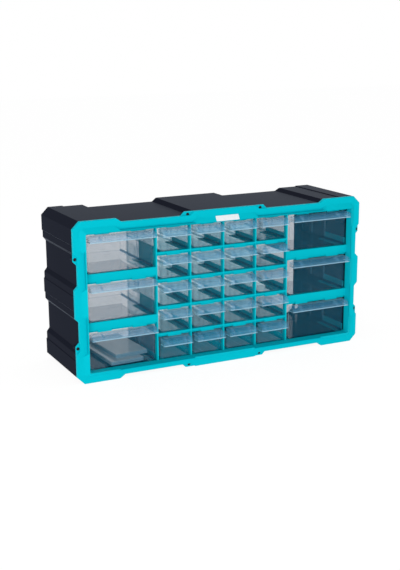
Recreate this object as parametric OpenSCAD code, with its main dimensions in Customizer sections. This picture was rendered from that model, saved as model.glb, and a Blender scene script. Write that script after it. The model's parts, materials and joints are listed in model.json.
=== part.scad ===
// Small-parts cabinet: a moulded front frame with a grid of cells, an open-backed
// rear shell screwed behind it, six wide and twenty narrow clear drawers.
// X runs to the right, Y to the back, Z up; the base stands on Z = 0.
// "depth" counts back from the front lip of the frame.

/* [Cabinet] */
// Overall width
cabinet_w = 514; // [500:1:540]
// Overall height
cabinet_h = 255; // [250:1:270]
// Depth from the frame's front lip to the back
cabinet_d = 153; // [145:1:170]

/* [Outline] */
// Leg of the cut across each outer corner
corner_cut = 11.5; // [8:0.5:14]
// Length of each corner pad along the top and the bottom
corner_pad_w = 70.5; // [62:0.5:80]
// Length of the middle pads along the top and the bottom
mid_pad_w = 110; // [100:1:112]
// How far the pads stand out at the top and the bottom
pad_step = 6; // [5.4:0.1:6.5]
// Width of the slope beside each corner pad
pad_run = 9; // [6:0.5:11]
// Width of the slope beside the middle pads at the top and the bottom
mid_run = 7.5; // [5:0.5:8]
// Length of each corner pad down the side
corner_pad_h = 48; // [40:1:50]
// Length of the middle pad on the side
mid_pad_h = 45; // [38:0.5:50]
// How far the pads stand out at the sides
side_step = 5.8; // [5.6:0.1:6.4]
// Height of the slope beside each side pad
side_run = 6; // [4:0.1:6.5]
// Height of the raised strip on the outer half of each shell pad
strip_step = 1.2; // [0.6:0.1:1.6]
// Width of the raised strip on each corner pad of the shell
strip_w = 36; // [28:1:42]

/* [Front frame] */
// Width of the border at the sides
border_side = 19.2; // [18:0.1:22]
// Width of the border at the top
border_top = 19.3; // [19:0.1:24]
// Width of the border at the bottom
border_bottom = 17.4; // [17:0.1:20]
// Distance of the border's crease from the outline
crease_inset = 10.7; // [9.5:0.1:11.5]
// How far the flange face lies behind the lip
flange_depth = 4.6; // [3.5:0.1:6]
// How far the crease lies behind the flange face
crease_drop = 1.0; // [0.4:0.1:1.4]
// Thickness of the flange
flange_t = 6.0; // [5:0.1:8]
// Thickness of the moulded skin
skin_t = 2.4; // [1.8:0.1:2.8]
// Depth of the bars' front faces behind the lip
bar_depth = 11.0; // [9.5:0.5:13]
// Thickness of the bars, front to back
bar_t = 9.0; // [7:0.5:11]
// Distance that the opening's wall reaches behind the bars' faces
sleeve_t = 3.0; // [2.5:0.5:4]
// Draft of the opening's wall
wall_draft = 0.6; // [0.4:0.1:1.2]

/* [Ears] */
// How far the ears' faces lie behind the flange face
ear_set_back = 3.7; // [3:0.1:4.2]
// How far the ears reach past the screws at the top and the bottom
ear_past_x = 5.8; // [5:0.1:7]
// How far the ears reach past the screws at the sides
ear_past_z = 3.4; // [3:0.1:4]
// Width of the slope at the end of an ear
ear_run = 6.0; // [5:0.1:7]
// Thickness of the ears on the shell
shell_ear_t = 2.5; // [2:0.1:4]

/* [Grid of cells] */
// Width of a narrow cell
narrow_cell_w = 56.7; // [54:0.1:57.5]
// Width of an upright bar
column_bar_w = 2.5; // [2:0.1:3.5]
// Height of a bar between narrow cells
row_bar_h = 3.2; // [2.4:0.1:4]
// Height of a bar between wide cells
wide_bar_h = 13; // [9:0.5:15]

/* [Stops] */
// Width of a tab on the face of a bar
tab_w = 23.5; // [18:0.5:28]
// Thickness of a tab
tab_t = 1.8; // [1.4:0.1:2.2]
// How far the tabs and the stop rails hang into the cells
stop_drop = 3.5; // [3:0.1:4]
// Distance of the stop rails behind the bars' faces
rail_set_back = 4; // [3:0.5:5]
// Thickness of the stop rails
rail_t = 1.6; // [1.2:0.1:2]

/* [Runners] */
// Distance that the runners reach behind the bars
runner_len = 60; // [50:1:70]
// Height of a runner's wall above its shelf
runner_h = 7.5; // [6:0.5:9]
// Thickness of a runner's wall
runner_t = 2.0; // [1.4:0.1:2.4]
// Height of the runner's wall at the sides of the cabinet
side_runner_h = 11; // [8:0.5:13]
// Reach of a shelf from the middle of its bar
shelf_w = 13; // [10:0.5:16]
// Thickness of a shelf
shelf_t = 1.6; // [1.2:0.1:2.2]

/* [Rear shell] */
// Wall of the shell
shell_t = 2.2; // [1.8:0.1:2.6]
// Thickness of the shell's rear rim
rim_t = 2.5; // [2:0.1:3]
// Width of the rear rim at the sides
rim_side = 38; // [37:1:44]
// Width of the rear rim at the top
rim_top = 18; // [15:1:28]
// Width of the rear rim at the bottom
rim_bottom = 18; // [15:1:28]
// Corner radius of the rear opening
rim_r = 20; // [16:1:22]
// Radius of a keyhole's entry, which passes the head of a wall screw
key_head_r = 4.2; // [3.8:0.1:4.6]
// Radius of a keyhole's slot
key_slot_r = 2.1; // [1.8:0.1:2.4]
// Length of a keyhole's slot above its entry
key_slot_l = 12; // [10:0.5:14]
// Distance of the keyholes from the sides
key_side = 31; // [27:0.5:32]
// Height of the lower keyholes' entries above the base
key_bottom = 29; // [27:0.5:32]
// Distance of the upper keyholes' entries below the top
key_top = 36; // [32:0.5:46]

/* [Screws] */
// Distance of the top and bottom screws past the middle pads
screw_past_mid = 10.2; // [10:0.1:15]
// Distance of the side screws past the corner pads
screw_past_corner = 9.5; // [8.5:0.5:13.5]
// Distance of the side screws from the frame's sides
screw_inset_x = 3.2; // [3.2:0.1:3.4]
// Distance of the other screws from the frame's top and bottom
screw_inset_z = 4.6; // [3.6:0.1:4.8]
// Radius of a screw's clearance hole
screw_hole_r = 2.0; // [1.9:0.1:2.2]
// Radius of a screw's shank
screw_r = 1.75; // [1.6:0.05:1.8]
// Radius of a screw's head
screw_head_r = 2.5; // [2.2:0.1:2.6]
// Height of a screw's head, which is sunk into the ear
screw_head_h = 1.2; // [0.8:0.1:1.4]
// Play around a screw's head
head_play = 0.2; // [0.1:0.05:0.3]
// Length of a screw under its head
screw_len = 9; // [7:0.5:10]
// Radius of the drive recess in a screw's head
drive_r = 1.1; // [0.8:0.1:1.3]
// Radius of a screw boss
boss_r = 3.1; // [2.8:0.1:3.1]
// Length of a screw boss
boss_len = 12; // [11:0.5:16]
// Floor left at the end of a screw boss
boss_floor = 1.5; // [1:0.1:2]
// Radius of a boss's pilot hole
pilot_r = 1.5; // [1.3:0.05:1.55]

/* [Label] */
// Distance of the label to the right of the middle
label_x = 2.5; // [-20:0.5:20]
// Width of the blank label
label_w = 41; // [30:1:60]
// Height of the blank label
label_h = 9.4; // [8:0.2:9.6]
// Thickness of the blank label
label_t = 0.4; // [0.2:0.1:0.6]

/* [Drawers] */
// Length of a drawer's tray
tray_len = 135; // [125:1:135]
// Wall of the trays
tray_t = 1.5; // [1.2:0.1:1.8]
// Gap on each side of a narrow tray
narrow_gap = 3.0; // [2.4:0.1:3.6]
// Gap on each side of a wide tray
wide_gap = 3.6; // [3:0.1:4.2]
// Gap under a tray
seat_gap = 0.3; // [0.2:0.05:0.5]
// Gap above a tray's back wall
top_gap = 1.2; // [1:0.1:1.6]
// Distance of a tray's front wall behind the bars' faces
tray_set_back = 1.0; // [0.6:0.1:1.6]
// Radius of a tray's lower edges
tray_r = 4.0; // [3:0.5:5]
// Gap between a tray's other walls and the stops above them
wall_gap = 0.4; // [0.3:0.1:0.8]
// Reach of a handle in front of the tray
handle_reach = 16.4; // [14:0.2:17.5]
// Wall of a handle
handle_t = 1.5; // [1.2:0.1:1.8]
// Height of a narrow drawer's handle
narrow_handle_h = 11.6; // [10:0.2:13]
// Height of a wide drawer's handle
wide_handle_h = 9.6; // [8.6:0.2:11]
// Radius of the handle's upper corners
handle_r = 3.5; // [2.5:0.5:3.5]
// Drop of the handle's sloping edge
handle_slope = 4.0; // [3:0.2:5]
// Width of the handle's sloping edge
handle_slope_run = 6.5; // [4:0.5:8]
// Distance of a narrow handle's ribs from its ends
narrow_rib_inset = 10; // [7:0.5:14]
// Distance of a wide handle's ribs from its ends
wide_rib_inset = 20; // [14:0.5:26]
// Distance from the front wall to the first divider slot
slot_first = 60; // [50:1:64]
// Distance between divider slots
slot_pitch = 41; // [36:1:44]
// Height of the ribs that form a divider slot
slot_rib = 1.0; // [0.6:0.1:1.2]

/* [Divider plates] */
// Thickness of a divider plate
divider_t = 1.4; // [1.2:0.1:1.5]
// Play of a divider plate between the walls of a wide tray
divider_play = 1.0; // [0.6:0.1:2]
// Distance of a standing divider plate below the tray's edge
divider_low = 2.3; // [1:0.1:6]
// Turn of the lower plates of the pile
pile_turn_low = 3.4; // [0:0.1:4]
// Turn of the upper plates of the pile
pile_turn_high = 4; // [0:0.1:4.4]

/* [Hidden] */

$fn = 48;
teal = [0.02, 0.74, 0.82];
charcoal = [0.17, 0.18, 0.22];
screw_black = [0.06, 0.06, 0.07];
label_white = [0.94, 0.95, 0.95];
clear_tray = [0.78, 0.86, 0.92, 0.45];
clear_plate = [0.86, 0.91, 0.95, 0.7];

// Small overlap that joins solids of one moulding
join = 0.5;
// Bevel at the corners of the lip's opening
lip_bevel = 1.0;

half_w = cabinet_w / 2;
half_h = cabinet_h / 2;
screw_x = mid_pad_w / 2 + screw_past_mid;
screw_z = half_h - corner_pad_h - screw_past_corner;
ear_x = screw_x + ear_past_x;
ear_z = screw_z - ear_past_z;

// Overall depth includes the handles, which stand out in front of the lip
handle_out = handle_reach - bar_depth - tray_set_back;
lip_y = -(cabinet_d + handle_out) / 2 + handle_out;
tray_y = lip_y + bar_depth + tray_set_back;
flange_back = flange_depth + flange_t;
ear_face = flange_depth + ear_set_back;
screw_seat = ear_face + screw_head_h;
sleeve_back = bar_depth + sleeve_t;
bars_back = bar_depth + bar_t;

// The opening, measured at the bars
open_half_w = half_w - border_side - wall_draft;
open_bottom = border_bottom + wall_draft;
open_top = cabinet_h - border_top - wall_draft;
open_h = open_top - open_bottom;

// Cells
narrow_columns = 4;
narrow_rows = 5;
wide_rows = 3;
column_pitch = narrow_cell_w + column_bar_w;
grid_half_w = narrow_columns / 2 * column_pitch;
narrow_cell_h = (open_h - (narrow_rows - 1) * row_bar_h) / narrow_rows;
wide_cell_h = (open_h - (wide_rows - 1) * wide_bar_h) / wide_rows;
wide_cell_w = open_half_w - grid_half_w - column_bar_w / 2;
wide_cell_x = grid_half_w + column_bar_w / 2 + wide_cell_w / 2;
narrow_tray_w = narrow_cell_w - 2 * narrow_gap;
wide_tray_w = wide_cell_w - 2 * wide_gap;
function narrow_x(column) = (column - (narrow_columns - 1) / 2) * column_pitch;
function narrow_z(row) = open_bottom + row * (narrow_cell_h + row_bar_h);
function wide_z(row) = open_bottom + row * (wide_cell_h + wide_bar_h);

// Divider plates stand across a wide tray; spare ones lie in a pile
divider_l = wide_tray_w - 2 * tray_t - divider_play;
divider_w = wide_cell_h - stop_drop - wall_gap - seat_gap - tray_t - divider_low;
slot_play = 0.4;
slot_w = divider_t + slot_play;
slot_rib_w = 1.2;
slot_low = 3;
pile_gap = 0.1;

// One quarter of the outline, from the middle of the top to the middle of the side,
// as [x, z] from the middle of the cabinet
function frame_quarter() = [
    [mid_pad_w / 2, half_h],
    [mid_pad_w / 2 + mid_run, half_h - pad_step],
    [half_w - corner_pad_w - pad_run, half_h - pad_step],
    [half_w - corner_pad_w, half_h],
    [half_w - corner_cut, half_h],
    [half_w, half_h - corner_cut],
    [half_w, half_h - corner_pad_h],
    [half_w - side_step, half_h - corner_pad_h - side_run],
    [half_w - side_step, mid_pad_h / 2 + side_run],
    [half_w, mid_pad_h / 2]];

// The shell has the same outline, with raised strips on its corner and side pads
function shell_quarter() = [
    [mid_pad_w / 2, half_h],
    [mid_pad_w / 2 + mid_run, half_h - pad_step],
    [half_w - corner_pad_w - pad_run, half_h - pad_step],
    [half_w - corner_pad_w, half_h - strip_step],
    [half_w - strip_w - strip_step, half_h - strip_step],
    [half_w - strip_w, half_h],
    [half_w - corner_cut, half_h],
    [half_w, half_h - corner_cut],
    [half_w, half_h - strip_w],
    [half_w - strip_step, half_h - strip_w - strip_step],
    [half_w - strip_step, half_h - corner_pad_h],
    [half_w - side_step, half_h - corner_pad_h - side_run],
    [half_w - side_step, mid_pad_h / 2 + side_run],
    [half_w - strip_step, mid_pad_h / 2],
    [half_w - strip_step, mid_pad_h / 4 + strip_step],
    [half_w, mid_pad_h / 4]];

// Ears fill the recesses of the outline about the screws
function top_ear() = [
    [mid_pad_w / 2, half_h],
    [ear_x, half_h],
    [ear_x + ear_run, half_h - pad_step],
    [ear_x + ear_run, half_h - pad_step - join],
    [mid_pad_w / 2, half_h - pad_step - join]];
function side_ear() = [
    [half_w - side_step - join, half_h - corner_pad_h],
    [half_w, half_h - corner_pad_h],
    [half_w, ear_z],
    [half_w - side_step, ear_z - ear_run],
    [half_w - side_step - join, ear_z - ear_run]];

function flip(points) = [for (i = [len(points) - 1 : -1 : 0]) points[i]];
function scaled(points, sx, sz) = [for (p = points) [p.x * sx, p.y * sz]];
function whole(quarter) = concat(
    quarter,
    flip(scaled(quarter, 1, -1)),
    scaled(quarter, -1, -1),
    flip(scaled(quarter, -1, 1)));

// Outline moved inwards by t with square corners
function unit(v) = v / norm(v);
function inward(a, b) = let (d = unit(b - a)) [d.y, -d.x];
function inset(points, t) = [
    for (i = [0 : len(points) - 1])
        let (
            n = len(points),
            here = points[i],
            n1 = inward(points[(i + n - 1) % n], here),
            n2 = inward(here, points[(i + 1) % n]))
        here + (n1 + n2) * t / (1 + n1 * n2)];

// Rectangle of the opening, grown by e, with one point for each point of the crease
function opening_ring(e) =
    let (
        crease = inset(whole(frame_quarter()), crease_inset),
        quarter_n = len(frame_quarter()),
        w = half_w - border_side + e,
        top = half_h - border_top + e,
        bottom = half_h - border_bottom + e)
    [for (i = [0 : len(crease) - 1])
        let (
            p = crease[i],
            k = i % (2 * quarter_n) < quarter_n
                ? i % quarter_n : quarter_n - 1 - i % quarter_n,
            h = p.y > 0 ? top : bottom)
        k < quarter_n / 2
            ? [sign(p.x) * min(abs(p.x), w - lip_bevel), sign(p.y) * h]
            : [sign(p.x) * w, sign(p.y) * min(abs(p.y), h - lip_bevel)]];

// Hollow ring whose section passes through the given [outline, depth] pairs
module ring_of_outlines(rings) {
    n = len(rings[0][0]);
    m = len(rings);
    points = [
        for (ring = rings)
            for (p = ring[0]) [p.x, lip_y + ring[1], p.y + half_h]];
    faces = [
        for (k = [0 : m - 1])
            for (i = [0 : n - 1])
                let (
                    a = k * n + i,
                    b = k * n + (i + 1) % n,
                    c = ((k + 1) % m) * n + (i + 1) % n,
                    d = ((k + 1) % m) * n + i)
                each [[a, b, c], [a, c, d]]];
    polyhedron(points, faces);
}

// Flat outline made solid from depth "from" to depth "to"
module plate_of(outline, from, to) {
    translate([0, lip_y + to, half_h])
        rotate([90, 0, 0])
            linear_extrude(to - from)
                polygon(outline);
}

// Block given by its middle in x, its depths and its heights
module block(x, w, from, to, z0, z1) {
    translate([x - w / 2, lip_y + from, z0])
        cube([w, to - from, z1 - z0]);
}

module rod(x, z, r, from, to) {
    translate([x, lip_y + to, z])
        rotate([90, 0, 0])
            cylinder(r = r, h = to - from);
}

module mirrored_x() {
    children();
    mirror([1, 0, 0])
        children();
}

// Places of the eight screws: [x, z]
function screw_places() = concat(
    [for (sx = [-1, 1], top = [0, 1])
        [sx * screw_x, top ? cabinet_h - screw_inset_z : screw_inset_z]],
    [for (sx = [-1, 1], sz = [-1, 1])
        [sx * (half_w - screw_inset_x), half_h + sz * screw_z]]);

// All eight ears, from depth "from" to depth "to"
module ears(from, to) {
    for (sx = [-1, 1], sz = [-1, 1]) {
        plate_of(scaled(top_ear(), sx, sz), from, to);
        plate_of(scaled(side_ear(), sx, sz), from, to);
    }
}

// ---- Front frame ----

module frame_border() {
    outline = whole(frame_quarter());
    ring_of_outlines([
        [outline, flange_back],
        [outline, flange_depth],
        [inset(outline, crease_inset), flange_depth + crease_drop],
        [opening_ring(0), 0],
        [opening_ring(-wall_draft), bar_depth],
        [opening_ring(-wall_draft), sleeve_back],
        [opening_ring(skin_t - wall_draft), sleeve_back],
        [opening_ring(skin_t), skin_t],
        [inset(outline, crease_inset), flange_depth + crease_drop + skin_t],
        [inset(outline, skin_t), flange_depth + skin_t],
        [inset(outline, skin_t), flange_back]]);
}

// Tab on the face of a bar, above a cell whose top is at z
module tab(x, z) {
    block(x, tab_w, bar_depth, bar_depth + tab_t, z - stop_drop, z + join);
}

// Rail behind the tabs, which stops a drawer's back wall
module stop_rail(x, w, z) {
    from = bar_depth + rail_set_back;
    block(x, w, from, from + rail_t, z - stop_drop, z + join);
}

module narrow_stops(column, z) {
    tab(narrow_x(column), z);
    stop_rail(narrow_x(column), narrow_cell_w, z);
}

// Stops of a wide cell on the right
module wide_stops(z) {
    for (side = [-1, 1])
        tab(wide_cell_x + side * column_pitch / 2, z);
    stop_rail(wide_cell_x, wide_cell_w, z);
}

module front_frame() {
    color(teal)
        difference() {
            union() {
                frame_border();
                ears(ear_face, flange_back);
                // Carries the stop rails of the top cells
                block(0, 2 * open_half_w, sleeve_back - join, bars_back,
                    open_top, open_top + skin_t);
                for (column = [0 : narrow_columns - 1])
                    narrow_stops(column, open_top);
                mirrored_x()
                    wide_stops(open_top);
            }
            for (p = screw_places()) {
                rod(p.x, p.y, screw_hole_r, ear_face - join, flange_back + join);
                rod(p.x, p.y, screw_head_r + head_play, ear_face - join, screw_seat);
            }
        }
}

// ---- Grid of cells ----

// Bars and runners meet each other and the frame face to face
module grid_uprights() {
    color(teal)
        for (i = [0 : narrow_columns])
            block((i - narrow_columns / 2) * column_pitch, column_bar_w,
                bar_depth, bars_back, open_bottom, open_top);
}

module grid_rows() {
    color(teal) {
        for (row = [1 : narrow_rows - 1], column = [0 : narrow_columns - 1]) {
            foot = narrow_z(row) - row_bar_h;
            block(narrow_x(column), narrow_cell_w, bar_depth, bars_back,
                foot, narrow_z(row));
            narrow_stops(column, foot);
        }
        mirrored_x()
            for (row = [1 : wide_rows - 1]) {
                foot = wide_z(row) - wide_bar_h;
                block(wide_cell_x, wide_cell_w, bar_depth, bars_back,
                    foot, wide_z(row));
                wide_stops(foot);
            }
    }
}

// Upright wall of a runner
module runner_wall(x, z0, z1) {
    block(x, runner_t, bars_back, bars_back + runner_len, z0, z1);
}

// Shelf of a runner, level with the foot of a cell, which starts where "meets" ends
module shelf(from, to, z, meets = bars_back) {
    block((from + to) / 2, to - from, meets, bars_back + runner_len, z - shelf_t, z);
}

module drawer_runners() {
    color(teal) {
        // Between narrow cells
        for (row = [0 : narrow_rows - 1], i = [1 : narrow_columns - 1]) {
            x = (i - narrow_columns / 2) * column_pitch;
            z = narrow_z(row);
            runner_wall(x, z - shelf_t, z + runner_h);
            shelf(x - shelf_w, x + shelf_w, z);
        }
        mirrored_x() {
            // Beside the wide cells, on the grid's side
            for (row = [0 : narrow_rows - 1]) {
                z = narrow_z(row);
                runner_wall(grid_half_w, z - shelf_t, z + runner_h);
                shelf(grid_half_w - shelf_w, grid_half_w, z);
            }
            // On the wide cells' side, up to the next runner of the grid
            for (row = [0 : wide_rows - 1]) {
                z = wide_z(row);
                runner_wall(grid_half_w, z - shelf_t, narrow_z(2 * row) + runner_h);
                shelf(grid_half_w, grid_half_w + shelf_w, z);
            }
            // Along the sides of the cabinet
            for (row = [0 : wide_rows - 1]) {
                z = wide_z(row);
                runner_wall(open_half_w + runner_t / 2, z - shelf_t, z + side_runner_h);
                shelf(open_half_w + runner_t / 2 - shelf_w, open_half_w + runner_t, z,
                    row == 0 ? sleeve_back : bars_back);
            }
        }
    }
}

// ---- Rear shell ----

module keyhole(x, z) {
    back = cabinet_d;
    rod(x, z, key_head_r, back - rim_t - join, back + join);
    rod(x, z + key_slot_l, key_slot_r, back - rim_t - join, back + join);
    block(x, 2 * key_slot_r, back - rim_t - join, back + join, z, z + key_slot_l);
}

module rear_opening() {
    x = half_w - rim_side - rim_r;
    z0 = rim_bottom + rim_r;
    z1 = cabinet_h - rim_top - rim_r;
    from = cabinet_d - rim_t - join;
    to = cabinet_d + join;
    for (sx = [-1, 1], z = [z0, z1])
        rod(sx * x, z, rim_r, from, to);
    block(0, 2 * x, from, to, z0 - rim_r, z1 + rim_r);
    block(0, 2 * (x + rim_r), from, to, z0, z1);
}

module rear_shell() {
    outer = whole(shell_quarter());
    inner = inset(outer, shell_t);
    color(charcoal)
        difference() {
            union() {
                difference() {
                    plate_of(outer, flange_back, cabinet_d);
                    plate_of(inner, flange_back - join, cabinet_d - rim_t);
                }
                ears(flange_back, flange_back + shell_ear_t);
                for (p = screw_places())
                    rod(p.x, p.y, boss_r, flange_back, flange_back + boss_len);
            }
            for (p = screw_places())
                rod(p.x, p.y, pilot_r, flange_back - join, flange_back + boss_len - boss_floor);
            rear_opening();
            for (sx = [-1, 1], z = [key_bottom, cabinet_h - key_top])
                keyhole(sx * (half_w - key_side), z);
        }
}

// ---- Screws and label ----

module frame_screw(x, z) {
    difference() {
        rod(x, z, screw_head_r, ear_face, screw_seat);
        rod(x, z, drive_r, ear_face - join, ear_face + screw_head_h / 2);
    }
    rod(x, z, screw_r, screw_seat, screw_seat + screw_len);
}

module frame_screws() {
    color(screw_black)
        for (p = screw_places())
            frame_screw(p.x, p.y);
}

// Blank label on the sloping inner band of the top border
module label_plate() {
    rise = flange_depth + crease_drop;
    run = border_top - crease_inset;
    tilt = atan2(rise, run);
    color(label_white)
        translate([0, lip_y + rise / 2, cabinet_h - crease_inset - run / 2])
            rotate([-tilt, 0, 0])
                translate([label_x - label_w / 2, -label_t, -label_h / 2])
                    cube([label_w, label_t, label_h]);
}

// ---- Drawers ----

// Upright section of a tray's inside or outside, rounded along its lower edges
module tray_section(w, h, r) {
    translate([-w / 2 + r, 0])
        square([w - 2 * r, h]);
    translate([-w / 2, r])
        square([w, h - r]);
    for (sx = [-1, 1])
        translate([sx * (w / 2 - r), r])
            circle(r);
}

module along_depth(from, to) {
    translate([0, to, 0])
        rotate([90, 0, 0])
            linear_extrude(to - from)
                children();
}

// Side view of the handle's hood: a flat top, a sloping edge and an upright front
function hood_points(h) = [
    [0, 0],
    [-handle_reach + handle_slope_run, 0],
    [-handle_reach, -handle_slope],
    [-handle_reach, -h],
    [-handle_reach + handle_t, -h],
    [-handle_reach + handle_t, -handle_slope - handle_t / 2],
    [-handle_reach + handle_slope_run + handle_t / 2, -handle_t],
    [0, -handle_t]];

// Outline of a rib or an end of the handle, which meets the front wall over a height "foot"
function hood_web(h, foot) = [
    [join, 0],
    [-handle_reach + handle_slope_run, 0],
    [-handle_reach, -handle_slope],
    [-handle_reach, -h],
    [-handle_reach + handle_t, -h],
    [join, -foot]];

module across(x, w) {
    translate([x - w / 2, 0, 0])
        rotate([90, 0, 90])
            linear_extrude(w)
                children();
}

// Handle hung in front of the tray, with its top at z
module handle(w, h, rib_inset, z) {
    translate([0, 0, z])
        intersection() {
            union() {
                across(0, w)
                    polygon(concat(hood_points(h), [[join, -handle_t], [join, 0]]));
                for (sx = [-1, 1]) {
                    across(sx * (w - handle_t) / 2, handle_t)
                        polygon(hood_web(h, h));
                    across(sx * (w / 2 - rib_inset), handle_t)
                        polygon(hood_web(h, h / 2));
                }
            }
            along_depth(-handle_reach, join)
                offset(r = handle_r)
                    translate([-w / 2 + handle_r, -2 * h])
                        square([w - 2 * handle_r, 2 * h - handle_r]);
        }
}

// Pairs of ribs on the side walls that hold a divider plate
module divider_slots(w, h) {
    mirrored_x()
        for (i = [0, 1], side = [-1, 1])
            translate([
                w / 2 - tray_t - slot_rib,
                slot_first + i * slot_pitch + side * (slot_w + slot_rib_w) / 2 - slot_rib_w / 2,
                tray_r])
                cube([slot_rib + join, slot_rib_w, h - tray_r - slot_low]);
}

// One drawer, with the foot of its cell at z = 0 and its front wall at y = 0
module drawer(w, cell_h, handle_h, rib_inset) {
    back_h = cell_h - top_gap - seat_gap;
    wall_h = cell_h - stop_drop - wall_gap - seat_gap;
    color(clear_tray)
        translate([0, 0, seat_gap]) {
            difference() {
                along_depth(0, tray_len)
                    tray_section(w, back_h, tray_r);
                translate([0, 0, tray_t])
                    along_depth(tray_t, tray_len - tray_t)
                        tray_section(w - 2 * tray_t, back_h, tray_r - tray_t);
                // Only the back wall reaches up behind the stop rail
                translate([-w / 2 - join, -join, wall_h])
                    cube([w + 2 * join, tray_len - tray_t + join, back_h]);
            }
            divider_slots(w, wall_h);
            handle(w, handle_h, rib_inset, wall_h);
        }
}

// Wide drawers are numbered down the left column, then down the right one
module wide_drawer(i) {
    side = i <= wide_rows ? -1 : 1;
    row = wide_rows - 1 - (i - 1) % wide_rows;
    translate([side * wide_cell_x, tray_y, wide_z(row)])
        drawer(wide_tray_w, wide_cell_h, wide_handle_h, wide_rib_inset);
}

// Narrow drawers are numbered along each row, from the top row down
module narrow_drawer(i) {
    column = (i - 1) % narrow_columns;
    row = narrow_rows - 1 - floor((i - 1) / narrow_columns);
    translate([narrow_x(column), tray_y, narrow_z(row)])
        drawer(narrow_tray_w, narrow_cell_h, narrow_handle_h, narrow_rib_inset);
}

// Spare dividers piled flat in the lowest drawer on the left
module divider_plates() {
    floor_z = open_bottom + seat_gap + tray_t;
    // Front right corner of each plate, from the tray's front right corner, and its turn
    places = [
        [-15.5, 3.6, pile_turn_low], [-15, 4, pile_turn_low],
        [-16, 3.2, pile_turn_low], [-15.2, 3.8, pile_turn_low],
        [-2.4, 19, pile_turn_high], [-2, 19.6, pile_turn_high],
        [-3, 18.4, pile_turn_high], [-2.2, 19.2, pile_turn_high]];
    color(clear_plate)
        translate([-wide_cell_x + wide_tray_w / 2 - tray_t - slot_rib, tray_y + tray_t, floor_z])
            for (k = [0 : len(places) - 1])
                translate([places[k][0], places[k][1], k * (divider_t + pile_gap)])
                    rotate([0, 0, places[k][2]])
                        translate([-divider_w, 0, 0])
                            cube([divider_w, divider_l, divider_t]);
}

front_frame();
grid_uprights();
grid_rows();
drawer_runners();
rear_shell();
frame_screws();
label_plate();
divider_plates();
for (i = [1 : 2 * wide_rows])
    wide_drawer(i);
for (i = [1 : narrow_rows * narrow_columns])
    narrow_drawer(i);
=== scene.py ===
"""Looks of a small-parts drawer cabinet.

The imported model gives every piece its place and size. This script rounds the
edges of its mouldings, dresses each surface and sets the studio around it.
"""

from __future__ import annotations

import json
import logging
import math
from dataclasses import dataclass, field
from enum import Enum, IntEnum
from typing import Any, Callable, Iterable, Sequence

import bmesh
import bpy
from mathutils import Matrix, Vector

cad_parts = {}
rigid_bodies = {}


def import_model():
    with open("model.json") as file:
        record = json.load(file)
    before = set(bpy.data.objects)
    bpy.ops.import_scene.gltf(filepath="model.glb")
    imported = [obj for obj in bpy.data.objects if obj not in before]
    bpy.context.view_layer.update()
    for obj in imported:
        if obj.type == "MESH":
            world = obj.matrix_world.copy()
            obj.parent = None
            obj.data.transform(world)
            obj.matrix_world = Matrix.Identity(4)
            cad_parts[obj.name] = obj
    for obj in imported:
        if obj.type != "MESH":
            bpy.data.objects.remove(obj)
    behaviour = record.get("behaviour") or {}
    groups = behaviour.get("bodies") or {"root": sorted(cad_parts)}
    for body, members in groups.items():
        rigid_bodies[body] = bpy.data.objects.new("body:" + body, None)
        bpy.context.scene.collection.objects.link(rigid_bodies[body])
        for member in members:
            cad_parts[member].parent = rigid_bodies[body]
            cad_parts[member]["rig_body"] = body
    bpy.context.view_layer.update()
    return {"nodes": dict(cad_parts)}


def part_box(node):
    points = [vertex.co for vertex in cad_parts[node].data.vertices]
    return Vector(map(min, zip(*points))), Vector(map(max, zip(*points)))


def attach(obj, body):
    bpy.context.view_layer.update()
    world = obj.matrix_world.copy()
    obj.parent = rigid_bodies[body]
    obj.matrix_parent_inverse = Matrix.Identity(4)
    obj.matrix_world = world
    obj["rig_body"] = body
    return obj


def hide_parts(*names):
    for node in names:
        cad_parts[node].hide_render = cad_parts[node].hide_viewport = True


LOG = logging.getLogger("cabinet")
MM = 0.001
Rgb = tuple[float, float, float]
WHITE: Rgb = (1.0, 1.0, 1.0)
# Narrow drawers below this height are in the lowest row
LOW_ROW_Z = 30 * MM
# Clear faces that a ray may pass, one behind the other
CLEAR_LAYERS = 64


def srgb(red: int, green: int, blue: int) -> Rgb:
    """Turn a colour as a screen shows it into the linear colour that shaders use.

    Args:
        red: Red from 0 to 255.
        green: Green from 0 to 255.
        blue: Blue from 0 to 255.

    Returns:
        The linear colour, each part from 0 to 1.
    """
    def linear(level: int) -> float:
        """Return the linear value of one part of the colour."""
        share = level / 255
        return share / 12.92 if share <= 0.04045 else ((share + 0.055) / 1.055) ** 2.4

    return linear(red), linear(green), linear(blue)


def rgba(colour: Rgb) -> tuple[float, float, float, float]:
    """Return the colour with full alpha, as sockets want it."""
    return (*colour, 1.0)


# ---------------------------------------------------------------- shader maths


class Signal:
    """An output socket that can be used in arithmetic."""

    def __init__(self, graph: "Graph", socket: bpy.types.NodeSocket) -> None:
        """Hold the socket and the graph that new Math nodes go into."""
        self.graph = graph
        self.socket = socket

    def _math(self, operation: str, first: Any, second: Any = 0.0) -> "Signal":
        """Add one Math node and return its result."""
        node = self.graph.node("ShaderNodeMath", {"operation": operation}, {0: first, 1: second})
        return Signal(self.graph, node.outputs[0])

    def __add__(self, other: Any) -> "Signal":
        """Return self + other."""
        return self._math("ADD", self, other)

    def __sub__(self, other: Any) -> "Signal":
        """Return self - other."""
        return self._math("SUBTRACT", self, other)

    def __rsub__(self, other: Any) -> "Signal":
        """Return other - self."""
        return self._math("SUBTRACT", other, self)

    def __mul__(self, other: Any) -> "Signal":
        """Return self * other."""
        return self._math("MULTIPLY", self, other)

    def __pow__(self, power: float) -> "Signal":
        """Return self raised to a power."""
        return self._math("POWER", self, power)

    __radd__ = __add__
    __rmul__ = __mul__


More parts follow.
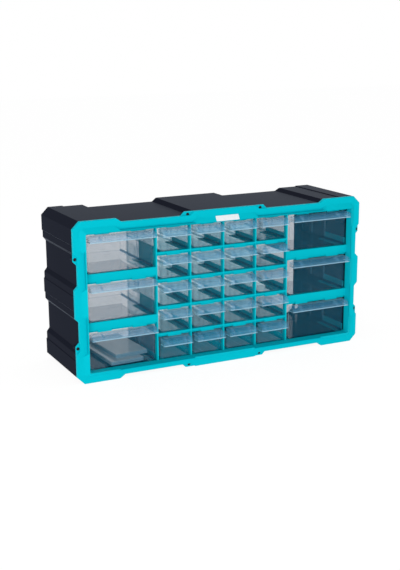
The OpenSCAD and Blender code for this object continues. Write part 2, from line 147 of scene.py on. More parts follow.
class Graph:
    """The node tree of one material or of the world."""

    def __init__(self, tree: bpy.types.NodeTree) -> None:
        """Empty the tree, so that it holds only what is made here."""
        self.tree = tree
        tree.nodes.clear()

    def node(self, kind: str, settings: dict[str, Any] | None = None,
             inputs: dict[str | int, Any] | None = None) -> bpy.types.Node:
        """Make one node.

        Args:
            kind: The node's type.
            settings: Properties of the node, set before its sockets.
            inputs: What each input gets: a value, a Signal or a socket.

        Returns:
            The new node.
        """
        made = self.tree.nodes.new(kind)
        for name, value in (settings or {}).items():
            setattr(made, name, value)
        for name, value in (inputs or {}).items():
            target = made.inputs[name]
            if isinstance(value, Signal):
                value = value.socket
            if isinstance(value, bpy.types.NodeSocket):
                self.tree.links.new(value, target)
            else:
                target.default_value = value
        return made

    def signal(self, kind: str, output: str | int, settings: dict[str, Any] | None = None,
               inputs: dict[str | int, Any] | None = None) -> Signal:
        """Make one node and return one of its outputs as a Signal."""
        return Signal(self, self.node(kind, settings, inputs).outputs[output])

    def place(self, stretch: Sequence[float] = (1.0, 1.0, 1.0)) -> Signal:
        """Return Object coordinates, stretched along each axis."""
        spot = self.signal("ShaderNodeTexCoord", "Object")
        return self.signal("ShaderNodeMapping", 0, inputs={"Vector": spot, "Scale": tuple(stretch)})

    def noise(self, scale: float, detail: float = 2.0,
              stretch: Sequence[float] = (1.0, 1.0, 1.0)) -> Signal:
        """Return a noise pattern from 0 to 1 in metres of the object."""
        return self.signal("ShaderNodeTexNoise", 0, {"noise_dimensions": "3D"},
                           {"Vector": self.place(stretch), "Scale": scale, "Detail": detail})

    def ramp(self, value: Signal, low: float, high: float) -> Signal:
        """Return 0 below low, 1 above high and a straight rise between."""
        return self.signal("ShaderNodeMapRange", 0, {"clamp": True},
                           {"Value": value, "From Min": low, "From Max": high})

    def mix_colours(self, share: Signal, first: Rgb, second: Rgb) -> Signal:
        """Return first where share is 0 and second where it is 1.

        Args:
            share: How much of the second colour shows.
            first: The colour where share is 0.
            second: The colour where share is 1.

        Returns:
            The mixed colour.
        """
        node = self.node("ShaderNodeMix", {"data_type": "RGBA"}, {0: share})
        node.inputs[6].default_value = rgba(first)
        node.inputs[7].default_value = rgba(second)
        return Signal(self, node.outputs[2])

    def facing(self) -> Signal:
        """Return 0 where a surface is seen straight on and 1 where it is seen along itself."""
        return self.signal("ShaderNodeLayerWeight", "Facing", inputs={"Blend": 0.5})

    def bump(self, height: Signal, distance: float, strength: float) -> Signal:
        """Return a normal disturbed by a height pattern."""
        return self.signal("ShaderNodeBump", 0, inputs={
            "Height": height, "Distance": distance, "Strength": strength})

    def end(self, shader: bpy.types.NodeSocket, kind: str = "ShaderNodeOutputMaterial") -> None:
        """Send the shader to the tree's output."""
        self.node(kind, inputs={"Surface": shader})


def new_material(name: str) -> tuple[bpy.types.Material, Graph]:
    """Make a material with an empty graph.

    Args:
        name: The material's name.

    Returns:
        The material and the graph to fill.
    """
    material = bpy.data.materials.new(name)
    material.use_nodes = True
    return material, Graph(material.node_tree)


def shade_of(colour: Rgb, level: float) -> Rgb:
    """Return the colour made lighter or darker by a factor."""
    return tuple(part * level for part in colour)


# -------------------------------------------------------------------- finishes


@dataclass(frozen=True)
class MouldedFinish:
    """Opaque injection-moulded plastic with a fine eroded grain."""

    name: str
    colour: Rgb
    variation: float
    roughness: float
    grain_strength: float
    specular: float
    grain_scale: float = 1600.0
    grain_depth: float = 0.05 * MM
    flow_scale: float = 9.0
    smudge_scale: float = 45.0
    roughness_spread: float = 0.1
    sheen: float = 0.0
    sheen_colour: Rgb = WHITE
    sheen_falloff: float = 10.0

    def make(self) -> bpy.types.Material:
        """Return the finish as a material.

        Returns:
            The finished material.
        """
        material, graph = new_material(self.name)
        flow = graph.noise(self.flow_scale, detail=3.0)
        grain = graph.noise(self.grain_scale, detail=1.0)
        smudge = graph.noise(self.smudge_scale, detail=4.0)
        colour = graph.mix_colours(
            flow,
            shade_of(self.colour, 1 - self.variation),
            shade_of(self.colour, 1 + self.variation))
        rough = smudge * self.roughness_spread + (self.roughness - self.roughness_spread / 2)
        body = graph.node("ShaderNodeBsdfPrincipled", inputs={
            "Base Color": colour,
            "Roughness": rough,
            "Specular IOR Level": self.specular,
            "Normal": graph.bump(grain, self.grain_depth, self.grain_strength)})
        gloss = graph.node("ShaderNodeBsdfAnisotropic", inputs={
            "Color": rgba(self.sheen_colour), "Roughness": self.roughness})
        whole = graph.node("ShaderNodeMixShader", inputs={
            0: graph.facing() ** self.sheen_falloff * self.sheen,
            1: body.outputs[0],
            2: gloss.outputs[0]})
        graph.end(whole.outputs[0])
        return material


@dataclass(frozen=True)
class ClearFinish:
    """Clear polystyrene, seen through more straight on than along it."""

    name: str
    tint: Rgb
    haze_colour: Rgb
    haze: float
    streak_haze: float
    grazing_gloss: float
    straight_gloss: float = 0.004
    gloss_falloff: float = 5.0
    gloss_roughness: float = 0.07
    wave_scale: float = 55.0
    wave_depth: float = 0.35 * MM
    wave_strength: float = 0.4
    streak_scale: float = 160.0
    streak_stretch: float = 0.06
    streak_from: float = 0.52
    streak_full: float = 0.75

    def make(self) -> bpy.types.Material:
        """Return the finish as a material.

        Returns:
            The finished material.
        """
        material, graph = new_material(self.name)
        mirror = graph.facing() ** self.gloss_falloff * self.grazing_gloss + self.straight_gloss
        waves = graph.noise(self.wave_scale, detail=1.0)
        normal = graph.bump(waves, self.wave_depth, self.wave_strength)
        flow = graph.noise(self.streak_scale, 3.0, (1.0, self.streak_stretch, 1.0))
        streaks = graph.ramp(flow, self.streak_from, self.streak_full)
        clear = graph.node("ShaderNodeBsdfTransparent", inputs={"Color": rgba(self.tint)})
        milk = graph.node("ShaderNodeBsdfDiffuse", inputs={"Color": rgba(self.haze_colour)})
        gloss = graph.node("ShaderNodeBsdfAnisotropic", inputs={
            "Color": rgba(WHITE), "Roughness": self.gloss_roughness, "Normal": normal})
        body = graph.node("ShaderNodeMixShader", inputs={
            0: streaks * self.streak_haze + self.haze,
            1: clear.outputs[0],
            2: milk.outputs[0]})
        whole = graph.node("ShaderNodeMixShader", inputs={
            0: mirror, 1: body.outputs[0], 2: gloss.outputs[0]})
        graph.end(whole.outputs[0])
        return material


@dataclass(frozen=True)
class RimHighlightFinish:
    """Cut edges and rims of clear plastic, painted as a pale, partly see-through colour: a painted
    highlight for the light they gather from the sheet.
    """

    name: str
    colour: Rgb
    cover: float
    cover_spread: float = 0.2
    roughness: float = 0.25
    roughness_spread: float = 0.15
    cloud_scale: float = 240.0
    shaded: float = 0.88

    def make(self) -> bpy.types.Material:
        """Return the finish as a material.

        Returns:
            The finished material.
        """
        material, graph = new_material(self.name)
        cloud = graph.noise(self.cloud_scale)
        body = graph.node("ShaderNodeBsdfPrincipled", inputs={
            "Base Color": graph.mix_colours(cloud, shade_of(self.colour, self.shaded), self.colour),
            "Roughness": cloud * self.roughness_spread + self.roughness,
            "Alpha": cloud * self.cover_spread + (self.cover - self.cover_spread / 2)})
        graph.end(body.outputs[0])
        return material


@dataclass(frozen=True)
class ScrewFinish:
    """Blackened steel with worn high spots."""

    name: str
    colour: Rgb
    bare: Rgb
    wear_scale: float = 900.0
    wear_from: float = 0.62
    wear_full: float = 0.75
    metallic: float = 0.4
    bare_metallic: float = 0.9
    roughness: float = 0.45
    bare_roughness: float = 0.3

    def make(self) -> bpy.types.Material:
        """Return the finish as a material.

        Returns:
            The finished material.
        """
        material, graph = new_material(self.name)
        wear = graph.ramp(graph.noise(self.wear_scale, 3.0), self.wear_from, self.wear_full)
        body = graph.node("ShaderNodeBsdfPrincipled", inputs={
            "Base Color": graph.mix_colours(wear, self.colour, self.bare),
            "Metallic": wear * (self.bare_metallic - self.metallic) + self.metallic,
            "Roughness": self.roughness - wear * (self.roughness - self.bare_roughness)})
        graph.end(body.outputs[0])
        return material


@dataclass(frozen=True)
class FilmFinish:
    """Blank label film with a satin face and faint handling marks."""

    name: str
    colour: Rgb
    mark_scale: float = 180.0
    mark_from: float = 0.45
    mark_full: float = 0.8
    marked: float = 0.93
    roughness: float = 0.32
    roughness_spread: float = 0.12
    ripple_scale: float = 320.0
    ripple_depth: float = 0.05 * MM
    ripple_strength: float = 0.2

    def make(self) -> bpy.types.Material:
        """Return the finish as a material.

        Returns:
            The finished material.
        """
        material, graph = new_material(self.name)
        marks = graph.ramp(graph.noise(self.mark_scale, 4.0), self.mark_from, self.mark_full)
        ripple = graph.noise(self.ripple_scale)
        body = graph.node("ShaderNodeBsdfPrincipled", inputs={
            "Base Color": graph.mix_colours(marks, self.colour, shade_of(self.colour, self.marked)),
            "Roughness": marks * self.roughness_spread + self.roughness,
            "Normal": graph.bump(ripple, self.ripple_depth, self.ripple_strength)})
        graph.end(body.outputs[0])
        return material


FRAME = MouldedFinish(
    "turquoise_moulding", srgb(2, 188, 204), variation=0.03, roughness=0.36, grain_strength=0.15,
    specular=0.01)
SHELL = MouldedFinish(
    "charcoal_moulding", srgb(29, 32, 43), variation=0.1, roughness=0.3, grain_strength=0.5,
    specular=0.0, grain_scale=1100.0, grain_depth=0.12 * MM, sheen=0.36,
    sheen_colour=(0.80, 0.88, 1.0))
SCREW = ScrewFinish("black_screw", srgb(8, 8, 10), srgb(40, 40, 44))
LABEL = FilmFinish("label_film", srgb(240, 243, 246))

# Walls of the trays. The lowest narrow row looks lighter and hazier: its extra haze and brighter
# colour are painted light from below.
WIDE_DRAWER = ClearFinish(
    "clear_wide_drawer", (0.89, 0.888, 0.892), srgb(40, 140, 178), haze=0.085, streak_haze=0.03,
    grazing_gloss=0.3, gloss_roughness=0.04)
NARROW_DRAWER = ClearFinish(
    "clear_narrow_drawer", (0.915, 0.94, 0.95), srgb(22, 140, 170), haze=0.07, streak_haze=0.02,
    grazing_gloss=0.11, gloss_roughness=0.04)
LIT_LOW_DRAWER = ClearFinish(
    "lit_low_drawer", (0.95, 0.965, 0.97), srgb(8, 160, 188), haze=0.165, streak_haze=0.02,
    grazing_gloss=0.12, gloss_roughness=0.04)

# Floors of the trays
WIDE_FLOOR = ClearFinish(
    "clear_wide_floor", (0.89, 0.89, 0.895), srgb(70, 165, 190), haze=0.12, streak_haze=0.03,
    grazing_gloss=0.55, gloss_roughness=0.02, wave_depth=0.04 * MM)
NARROW_FLOOR = ClearFinish(
    "clear_narrow_floor", (0.78, 0.92, 0.94), srgb(30, 140, 160), haze=0.06, streak_haze=0.05,
    grazing_gloss=0.12, gloss_roughness=0.05)
# Floor of the lowest row: pinkish white haze in long streaks from front to back, painted light from
# below
LIT_LOW_FLOOR = ClearFinish(
    "lit_low_floor", (0.93, 0.93, 0.93), srgb(226, 186, 192), haze=0.45, streak_haze=0.3,
    grazing_gloss=0.2, gloss_roughness=0.05, streak_scale=420.0, streak_stretch=0.015)

# Corners and folds, where the plastic is seen through its thickness. Their dark teal is painted
# shade, the shaded teal frame seen through the corner; the wide trays' upright corners get a pale
# painted highlight instead.
NARROW_CORNER_SHADE = ClearFinish(
    "shaded_drawer_corner", (0.55, 0.70, 0.76), srgb(0, 96, 112), haze=0.2, streak_haze=0.02,
    grazing_gloss=0.1, gloss_roughness=0.05)
WIDE_FOLD_SHADE = ClearFinish(
    "shaded_drawer_fold", (0.42, 0.52, 0.60), srgb(8, 60, 92), haze=0.2, streak_haze=0.02,
    grazing_gloss=0.08, gloss_roughness=0.05)
WIDE_CORNER_HIGHLIGHT = RimHighlightFinish("lit_wide_corner", srgb(136, 178, 202), cover=0.7)

# Handles, rims and edges. The rims, edges and hood webs are painted highlights: pale, partly
# see-through colour for the light their thin plastic gathers.
# The hood is the walls' plastic with a brighter, bluer haze: partly its milkiness, partly painted
# reflection of the lamps and sky
HOOD = ClearFinish(
    "clear_hood", (0.965, 0.965, 0.965), srgb(104, 200, 250), haze=0.13, streak_haze=0.01,
    grazing_gloss=0.2, straight_gloss=0.008, gloss_roughness=0.04, wave_depth=0.15 * MM)
HOOD_WEB_HIGHLIGHT = RimHighlightFinish("lit_hood_web", srgb(150, 200, 226), cover=0.3)
DRAWER_RIM_HIGHLIGHT = RimHighlightFinish("lit_drawer_rim", srgb(170, 196, 214), cover=0.45)
DRAWER_EDGE_HIGHLIGHT = RimHighlightFinish("lit_drawer_edge", srgb(176, 216, 236), cover=0.55)

# Spare divider plates. Their heavy white haze is partly their own milkiness and partly painted
# light scattered through the stack; their rims get a painted highlight.
PLATE = ClearFinish(
    "clear_plate", (0.9, 0.92, 0.93), srgb(250, 255, 255), haze=0.8, streak_haze=0.1,
    grazing_gloss=1.0, straight_gloss=0.09)
PLATE_RIM_HIGHLIGHT = RimHighlightFinish("lit_plate_rim", srgb(150, 205, 232), cover=0.65)


class Slot(Enum):
    """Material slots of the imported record."""

    FRAME = "frame_plastic"
    SHELL = "shell_plastic"
    SCREW = "screw_steel"
    LABEL = "label"
    PLATE = "divider_plastic"
    DRAWER = "drawer_plastic"


# ---------------------------------------------------------------------- meshes


EdgeTest = Callable[[bmesh.types.BMEdge], bool]
FaceTest = Callable[[bmesh.types.BMFace], bool]

FLAT_ANGLE = math.radians(0.4)
SHARP_ANGLE = math.radians(24)
SHADING_ANGLE = math.radians(32)
BORDER_ANGLE = math.radians(40)
SQUARE_ANGLE = math.radians(60)
MERGE_GAP = 0.002 * MM
PARALLEL = 0.999


@dataclass
class Rounding:
    """One round of bevels over the edges that a test picks."""

    width: float
    picks: EdgeTest
    segments: int = 2


def is_sharp(edge: bmesh.types.BMEdge, least: float = SHARP_ANGLE) -> bool:
    """Tell whether two faces meet at the edge at more than a given angle."""
    return len(edge.link_faces) == 2 and edge.calc_face_angle(0.0) > least


def runs_along(edge: bmesh.types.BMEdge, axis: int) -> bool:
    """Tell whether the edge is parallel to one axis."""
    direction = edge.verts[1].co - edge.verts[0].co
    return abs(direction[axis]) > PARALLEL * direction.length


class Moulding:
    """A CAD node's mesh, made ready to be rounded and dressed."""

    def __init__(self, node: str) -> None:
        """Copy the node's mesh, join its loose triangles and merge its flat faces."""
        self.node = node
        self.bm = bmesh.new()
        self.bm.from_mesh(bpy.data.objects[node].data)
        bmesh.ops.remove_doubles(self.bm, verts=self.bm.verts, dist=MERGE_GAP)
        bmesh.ops.dissolve_limit(
            self.bm, angle_limit=FLAT_ANGLE, verts=self.bm.verts, edges=self.bm.edges)

    def round_edges(self, rounding: Rounding) -> list[bmesh.types.BMFace]:
        """Bevel the edges that the rounding picks and return the new faces.

        Args:
            rounding: The width and segments of the bevel, and the test that picks its edges.

        Returns:
            The faces that the bevel made.
        """
        edges = [edge for edge in self.bm.edges if is_sharp(edge) and rounding.picks(edge)]
        made = bmesh.ops.bevel(
            self.bm, geom=edges, offset=rounding.width, offset_type="OFFSET", affect="EDGES",
            segments=rounding.segments, profile=0.5, clamp_overlap=True, material=-1)
        return made["faces"]

    def cut_across(self, height: float, picks: FaceTest) -> None:
        """Cut the faces that a test picks along a level plane.

        Args:
            height: The height of the plane, in metres.
            picks: The test that a face has to pass to be cut.
        """
        faces = [face for face in self.bm.faces if picks(face)]
        around = {part for face in faces for part in (*face.edges, *face.verts)}
        bmesh.ops.bisect_plane(
            self.bm, geom=faces + list(around), plane_co=(0.0, 0.0, height),
            plane_no=(0.0, 0.0, 1.0))

    def dress(self, index: int, picks: FaceTest) -> None:
        """Give the faces that a test picks one of the node's later materials.

        Args:
            index: The material's place in the node's list.
            picks: The test that a face has to pass to get the material.
        """
        for face in self.bm.faces:
            if picks(face):
                face.material_index = index

    def add(self, other: bmesh.types.BMesh) -> None:
        """Join a mesh of small details to this one and free it.

        Args:
            other: The mesh of details, which is freed.
        """
        spare = bpy.data.meshes.new("spare")
        other.to_mesh(spare)
        other.free()
        self.bm.from_mesh(spare)
        bpy.data.meshes.remove(spare)

    def finish(self, body: str, slot: Slot, *materials: bpy.types.Material) -> bpy.types.Object:
        """Make the object that stands for the node.

        Args:
            body: The CAD body that the piece rides on.
            slot: The record's slot for its finish; not used.
            materials: The materials, the main one first.

        Returns:
            The finished object.
        """
        for face in self.bm.faces:
            face.smooth = True
        for edge in self.bm.edges:
            edge.smooth = not is_sharp(edge, SHADING_ANGLE)
        name = self.node + "_moulding"
        mesh = bpy.data.meshes.new(name)
        self.bm.to_mesh(mesh)
        self.bm.free()
        for material in materials:
            mesh.materials.append(material)
        piece = bpy.data.objects.new(name, mesh)
        bpy.context.scene.collection.objects.link(piece)
        even = piece.modifiers.new("even_normals", "WEIGHTED_NORMAL")
        even.keep_sharp = True
        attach(piece, body)
        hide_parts(self.node)
        LOG.info("%s: %d faces on %s", name, len(mesh.polygons), body)
        return piece


# -------------------------------------------------------------- sub-assemblies


@dataclass
class FrontFrame:
    """The turquoise moulding: border, grid of cells and runners."""

    outline_round: float = 0.9 * MM
    edge_round: float = 0.35 * MM
    bar_round: float = 0.3 * MM
    plane_slack: float = 0.15 * MM
    flange_depth: float = 4.6 * MM

    def build(self, finish: bpy.types.Material) -> None:
        """Round and dress the frame's four nodes.

        Args:
            finish: The material to dress it in.
        """
        self.build_border(finish)
        self.build_bars("grid_uprights", 2, finish)
        self.build_bars("grid_rows", 0, finish)
        self.build_bars("drawer_runners", 1, finish)

    def build_border(self, finish: bpy.types.Material) -> None:
        """Round the border's outer edge more than its other edges.

        Args:
            finish: The material to dress it in.
        """
        flange_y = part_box("front_frame")[0].y + self.flange_depth
        border = Moulding("front_frame")

        def on_flange(edge: bmesh.types.BMEdge) -> bool:
            """Tell whether the edge lies in the flange's front plane."""
            return all(abs(vert.co.y - flange_y) < self.plane_slack for vert in edge.verts)

        border.round_edges(Rounding(self.outline_round, on_flange, 3))
        border.round_edges(Rounding(self.edge_round, lambda edge: is_sharp(edge, BORDER_ANGLE)))
        border.finish("cabinet", Slot.FRAME, finish)

    def build_bars(self, node: str, axis: int, finish: bpy.types.Material) -> None:
        """Round bars along their length only, so that they meet the rest without a seam.

        Args:
            node: The CAD node of the bars.
            axis: The axis that the bars run along: 0, 1 or 2.
            finish: The material to dress it in.
        """
        bars = Moulding(node)
        bars.round_edges(Rounding(self.bar_round, lambda edge: runs_along(edge, axis)))
        bars.finish("cabinet", Slot.FRAME, finish)


@dataclass
class RearShell:
    """The charcoal box behind the frame, open at the back."""

    edge_round: float = 0.7 * MM

    def build(self, finish: bpy.types.Material) -> None:
        """Round and dress the shell.

        Args:
            finish: The material to dress it in.
        """
        shell = Moulding("rear_shell")
        shell.round_edges(Rounding(self.edge_round, lambda edge: True))
        shell.finish("cabinet", Slot.SHELL, finish)


@dataclass
class Fasteners:
    """The eight screws that hold the frame to the shell."""

    edge_round: float = 0.25 * MM

    def build(self, finish: bpy.types.Material) -> None:
        """Round and dress the screws.

        Args:
            finish: The material to dress it in.
        """
        screws = Moulding("frame_screws")
        screws.round_edges(Rounding(self.edge_round, lambda edge: is_sharp(edge, SQUARE_ANGLE), 3))
        screws.finish("cabinet", Slot.SCREW, finish)


@dataclass
class Label:
    """The blank label on the top border."""

    corner_round: float = 1.2 * MM
    film_slack: float = 1.5

    def build(self, finish: bpy.types.Material) -> None:
        """Round the label's corners and dress it.

        Args:
            finish: The material to dress it in.
        """
        label = Moulding("label_plate")
        thickness = min(edge.calc_length() for edge in label.bm.edges)

        def at_corner(edge: bmesh.types.BMEdge) -> bool:
            """Tell whether the edge crosses the film's thickness."""
            return edge.calc_length() < thickness * self.film_slack

        label.round_edges(Rounding(self.corner_round, at_corner, 5))
        label.finish("cabinet", Slot.LABEL, finish)


@dataclass
class DividerPile:
    """The spare divider plates in the lowest drawer on the left."""

    edge_round: float = 0.2 * MM
    face_z: float = 0.8

    def build(self, body: str, clear: bpy.types.Material, rim: bpy.types.Material) -> None:
        """Round the plates and give their thin edges the rim's painted highlight.

        Args:
            body: The CAD body that carries the plates.
            clear: The material of the plates' faces.
            rim: The material of their thin edges.
        """
        plates = Moulding("divider_plates")
        plates.round_edges(Rounding(self.edge_round, lambda edge: True))
        plates.dress(1, lambda face: abs(face.normal.z) < self.face_z)
        plates.finish(body, Slot.PLATE, clear, rim)


@dataclass(frozen=True)
class DrawerFinishes:
    """Materials of one clear drawer."""

    clear: bpy.types.Material
    rim: bpy.types.Material
    hood: bpy.types.Material
    edge: bpy.types.Material
    corner: bpy.types.Material
    floor: bpy.types.Material
    fold: bpy.types.Material
    web: bpy.types.Material

    def in_order(self) -> list[bpy.types.Material]:
        """Return the materials in the order of DrawerPart."""
        return [self.clear, self.rim, self.hood, self.edge, self.corner, self.floor, self.fold,
                self.web]


class DrawerKind(Enum):
    """Sorts of drawer, each with its own finishes."""

    WIDE = "wide"
    NARROW = "narrow"
    LOW = "low"


class DrawerPart(IntEnum):
    """What the faces of a drawer belong to, as indexes of its materials."""

    WALL = 0
    RIM = 1
    HOOD = 2
    EDGE = 3
    CORNER = 4
    FLOOR = 5
    FOLD = 6
    WEB = 7


@dataclass
class Drawer:
    """One clear drawer."""

    node: str
    reach: float = 16.4 * MM
    front_round: float = 0.55 * MM
    edge_round: float = 0.3 * MM
    fold_round: float = 0.8 * MM
    lip_h: float = 1.3 * MM
    wall: float = 1.5 * MM
    plane_slack: float = 0.3 * MM
    gate_r: float = 2.2 * MM
    gate_top_r: float = 1.76 * MM
    gate_h: float = 0.25 * MM
    gate_sides: int = 20
    rim_share: float = 0.8
    floor_h: float = 2.25 * MM
    level: float = 0.9
    sideways: float = 0.9
    nearly_level: float = 0.95
    turned: float = 0.2
    lit: float = 0.3

    def build(self, finishes: DrawerFinishes) -> None:
        """Round and dress the drawer, with its gate mark.

        Args:
            finishes: The materials of its parts.
        """
        low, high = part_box(self.node)
        front_y = low.y + self.reach
        shape = Moulding(self.node)
        lip_z = min(vert.co.z for vert in shape.bm.verts if vert.co.y < front_y - self.wall)
        self.round_all(shape, front_y)
        shape.cut_across(
            lip_z + self.lip_h, lambda face: face.calc_center_median().y < front_y - self.wall)
        self.dress_handle(shape, front_y, lip_z)
        self.dress_tray(shape, low.z, high.z)
        shape.add(self.gate_mark(low, high))
        shape.finish(self.node, Slot.DRAWER, *finishes.in_order())

    def round_all(self, shape: Moulding, front_y: float) -> None:
        """Round the front's edges, then the tray's inner corners, then its other edges.

        Args:
            shape: The drawer's mesh.
            front_y: Where the front wall's face lies.
        """

        def in_front(edge: bmesh.types.BMEdge) -> bool:
            """Tell whether the edge belongs to the hood or to the face of the tray."""
            return all(vert.co.y < front_y + self.plane_slack for vert in edge.verts)

        # The front's upright bevel faces get the painted edge highlight
        for face in shape.round_edges(Rounding(self.front_round, in_front)):
            runs_down = face.normal.y < self.lit and abs(face.normal.x) > self.turned
            face.material_index = DrawerPart.EDGE if runs_down else DrawerPart.WALL
        # Inner corner bevels get painted lines: upright ones the corner line (painted shade, a
        # painted highlight on wide trays), level ones the fold's painted shade
        for face in shape.round_edges(Rounding(
                self.fold_round, lambda edge: not in_front(edge) and not edge.is_convex)):
            upright = abs(face.normal.z) < self.turned
            face.material_index = DrawerPart.CORNER if upright else DrawerPart.FOLD
        shape.round_edges(Rounding(
            self.edge_round, lambda edge: not in_front(edge) and is_sharp(edge, SQUARE_ANGLE)))

    def dress_handle(self, shape: Moulding, front_y: float, lip_z: float) -> None:
        """Tell the hood and its lip from the tray's walls.

        Args:
            shape: The drawer's mesh, rounded.
            front_y: Where the front wall's face lies.
            lip_z: The height of the hood's lower edge.
        """

        def on_lip(face: bmesh.types.BMFace) -> bool:
            """Tell whether the face is on the hood's lower lip."""
            middle = face.calc_center_median()
            return middle.y < front_y - self.wall and middle.z < lip_z + self.lip_h

        # The hood's lower lip gets the painted edge highlight
        shape.dress(DrawerPart.EDGE, on_lip)
        shape.dress(DrawerPart.HOOD, lambda face: face.material_index == DrawerPart.WALL
                    and face.calc_center_median().y < front_y - self.plane_slack)

    def dress_tray(self, shape: Moulding, low_z: float, high_z: float) -> None:
        """Tell the tray's rim, folds and floor, and the hood's webs, from the walls.

        Args:
            shape: The drawer's mesh, with its handle dressed.
            low_z: The drawer's lowest height.
            high_z: The drawer's highest height.
        """
        rim_z = low_z + (high_z - low_z) * self.rim_share

        def is_wall(face: bmesh.types.BMFace) -> bool:
            """Tell whether the face is still undressed."""
            return face.material_index == DrawerPart.WALL

        # Rim tops and hood webs get painted highlights and folds painted shade; the lowest row's
        # floor finish is painted light from below
        shape.dress(DrawerPart.RIM, lambda face: is_wall(face)
                    and face.normal.z > self.level and face.calc_center_median().z > rim_z)
        shape.dress(DrawerPart.WEB, lambda face: face.material_index == DrawerPart.HOOD
                    and abs(face.normal.x) > self.sideways)
        shape.dress(DrawerPart.FOLD, lambda face: is_wall(face)
                    and abs(face.normal.x) > self.turned
                    and self.turned < abs(face.normal.z) < self.nearly_level)
        shape.dress(DrawerPart.FLOOR, lambda face: is_wall(face)
                    and face.normal.z > self.level
                    and face.calc_center_median().z < low_z + self.floor_h)

    def gate_mark(self, low: Vector, high: Vector) -> bmesh.types.BMesh:
        """Return the small round mark that the mould leaves on the tray's floor.

        Args:
            low: The lowest corner of the drawer's box.
            high: The highest corner of the drawer's box.

        Returns:
            The mark's mesh, standing in its place.
        """
        mark = bmesh.new()
        middle = (low + high) / 2
        middle.z = low.z + self.wall + self.gate_h / 2
        bmesh.ops.create_cone(
            mark, cap_ends=True, segments=self.gate_sides, radius1=self.gate_r,
            radius2=self.gate_top_r, depth=self.gate_h, matrix=Matrix.Translation(middle))
        return mark


# ---------------------------------------------------------------------- studio


@dataclass
class Softbox:
    """A rectangular studio lamp that faces the cabinet."""

    name: str
    place: Vector
    width: float
    height: float
    watts: float
    target: Vector = field(default_factory=lambda: Vector((0.0, 0.0, 0.12)))

    def build(self) -> None:
        """Set up the lamp."""
        lamp = bpy.data.lights.new(self.name, "AREA")
        lamp.shape = "RECTANGLE"
        lamp.size = self.width
        lamp.size_y = self.height
        lamp.energy = self.watts
        holder = bpy.data.objects.new(self.name, lamp)
        turn = (self.target - self.place).to_track_quat("-Z", "Y").to_matrix().to_4x4()
        holder.matrix_world = Matrix.Translation(self.place) @ turn
        bpy.context.scene.collection.objects.link(holder)


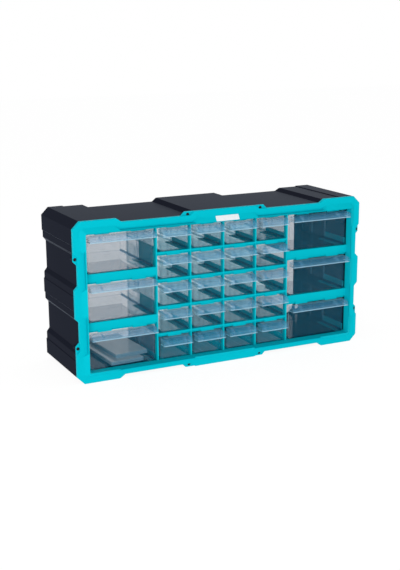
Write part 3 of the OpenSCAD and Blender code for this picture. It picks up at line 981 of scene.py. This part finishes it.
@dataclass
class Studio:
    """Floor, lamps, world and camera."""

    camera_place: Vector = field(default_factory=lambda: Vector((-0.76397, -1.51462, 0.54174)))
    camera_yaw: float = 0.461
    camera_pitch: float = 0.247
    camera_roll: float = -0.006
    lens_mm: float = 65.84
    film_mm: float = 36.0
    floor_size: float = 12.0
    floor_colour: Rgb = (0.92, 0.92, 0.92)
    floor_glow_share: float = 0.5
    floor_glow_share_seen: float = 0.88
    bounce: float = 1.25
    bounce_seen: float = 1.06
    fill_strength: float = 0.55

    def build(self) -> None:
        """Set up the studio."""
        self.build_floor()
        self.build_world()
        self.build_camera()
        Softbox("key_softbox", Vector((-1.5, -2.2, 0.6)), 1.6, 1.2, 31.0).build()
        Softbox("top_softbox", Vector((0.1, 0.25, 1.9)), 1.6, 1.0, 3.0).build()

    def build_floor(self) -> None:
        """Lay a pale floor that stays near white and keeps the cabinet's shadow."""
        bm = bmesh.new()
        bmesh.ops.create_grid(bm, x_segments=1, y_segments=1, size=self.floor_size / 2)
        mesh = bpy.data.meshes.new("studio_floor")
        bm.to_mesh(mesh)
        bm.free()
        floor = bpy.data.objects.new("studio_floor", mesh)
        bpy.context.scene.collection.objects.link(floor)
        material, graph = new_material("studio_floor")
        paper = graph.node("ShaderNodeBsdfDiffuse", inputs={"Color": rgba(self.floor_colour)})
        glow = self.seen(graph) * (self.bounce_seen - self.bounce) + self.bounce
        white = graph.node("ShaderNodeEmission", inputs={"Color": rgba(WHITE), "Strength": glow})
        more_seen = self.floor_glow_share_seen - self.floor_glow_share
        body = graph.node("ShaderNodeMixShader", inputs={
            0: self.seen(graph) * more_seen + self.floor_glow_share,
            1: paper.outputs[0],
            2: white.outputs[0]})
        graph.end(body.outputs[0])
        mesh.materials.append(material)

    def build_world(self) -> None:
        """Light the room evenly, with a white background where it is seen or mirrored."""
        world = bpy.data.worlds.new("studio")
        bpy.context.scene.world = world
        world.use_nodes = True
        graph = Graph(world.node_tree)
        sky = graph.node("ShaderNodeBackground", inputs={
            "Color": rgba(WHITE),
            "Strength": self.seen(graph) * (1 - self.fill_strength) + self.fill_strength})
        graph.end(sky.outputs[0], "ShaderNodeOutputWorld")

    @staticmethod
    def seen(graph: Graph) -> Signal:
        """Return 1 for rays that show the background, straight or in gloss or glass.

        Args:
            graph: The graph that gets the nodes.

        Returns:
            1 for such rays and 0 for the rest.
        """
        rays = graph.node("ShaderNodeLightPath")
        camera, glossy, through = (
            Signal(graph, rays.outputs[name])
            for name in ("Is Camera Ray", "Is Glossy Ray", "Is Transmission Ray"))
        return graph.ramp(camera + glossy + through, 0.0, 1.0)

    def build_camera(self) -> None:
        """Stand the camera where the photograph was taken from."""
        data = bpy.data.cameras.new("camera")
        data.sensor_fit = "VERTICAL"
        data.sensor_height = self.film_mm
        data.lens = self.lens_mm
        camera = bpy.data.objects.new("camera", data)
        bpy.context.scene.collection.objects.link(camera)
        upright = Matrix.Rotation(-self.camera_yaw, 4, "Z")
        tilt = Matrix.Rotation(math.pi / 2 - self.camera_pitch, 4, "X")
        roll = Matrix.Rotation(self.camera_roll, 4, "Z")
        camera.matrix_world = Matrix.Translation(self.camera_place) @ upright @ tilt @ roll
        bpy.context.scene.camera = camera


# ------------------------------------------------------------------------ main


def drawer_kind(name: str) -> DrawerKind:
    """Return the kind of the drawer that has this name.

    Args:
        name: The drawer's CAD node.

    Returns:
        The kind of drawer.
    """
    if name.startswith(DrawerKind.WIDE.value):
        return DrawerKind.WIDE
    return DrawerKind.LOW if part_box(name)[0].z < LOW_ROW_Z else DrawerKind.NARROW


def drawer_finishes() -> dict[DrawerKind, DrawerFinishes]:
    """Make the materials of each kind of drawer, with the handles' ones shared.

    Returns:
        The materials of each kind of drawer.
    """
    shared = {
        "rim": DRAWER_RIM_HIGHLIGHT.make(), "hood": HOOD.make(), "edge": DRAWER_EDGE_HIGHLIGHT.make(),
        "web": HOOD_WEB_HIGHLIGHT.make()}
    corner = NARROW_CORNER_SHADE.make()
    return {
        DrawerKind.WIDE: DrawerFinishes(
            clear=WIDE_DRAWER.make(), floor=WIDE_FLOOR.make(), corner=WIDE_CORNER_HIGHLIGHT.make(),
            fold=WIDE_FOLD_SHADE.make(), **shared),
        DrawerKind.NARROW: DrawerFinishes(
            clear=NARROW_DRAWER.make(), floor=NARROW_FLOOR.make(), corner=corner, fold=corner,
            **shared),
        DrawerKind.LOW: DrawerFinishes(
            clear=LIT_LOW_DRAWER.make(), floor=LIT_LOW_FLOOR.make(), corner=corner, fold=corner,
            **shared)}


def main() -> None:
    """Build the cabinet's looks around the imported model."""
    logging.basicConfig(level=logging.INFO, format="%(name)s: %(message)s")
    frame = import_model()
    scene = bpy.context.scene
    scene.view_settings.view_transform = "Standard"
    scene.cycles.transparent_max_bounces = CLEAR_LAYERS
    Studio().build()

    FrontFrame().build(FRAME.make())
    RearShell().build(SHELL.make())
    Fasteners().build(SCREW.make())
    Label().build(LABEL.make())
    finishes = drawer_finishes()
    for name in sorted(name for name in frame["nodes"] if "_drawer_" in name):
        Drawer(name).build(finishes[drawer_kind(name)])
    pile_body = frame["nodes"]["divider_plates"]["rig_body"]
    DividerPile().build(pile_body, PLATE.make(), PLATE_RIM_HIGHLIGHT.make())


if __name__ == "__main__":
    main()
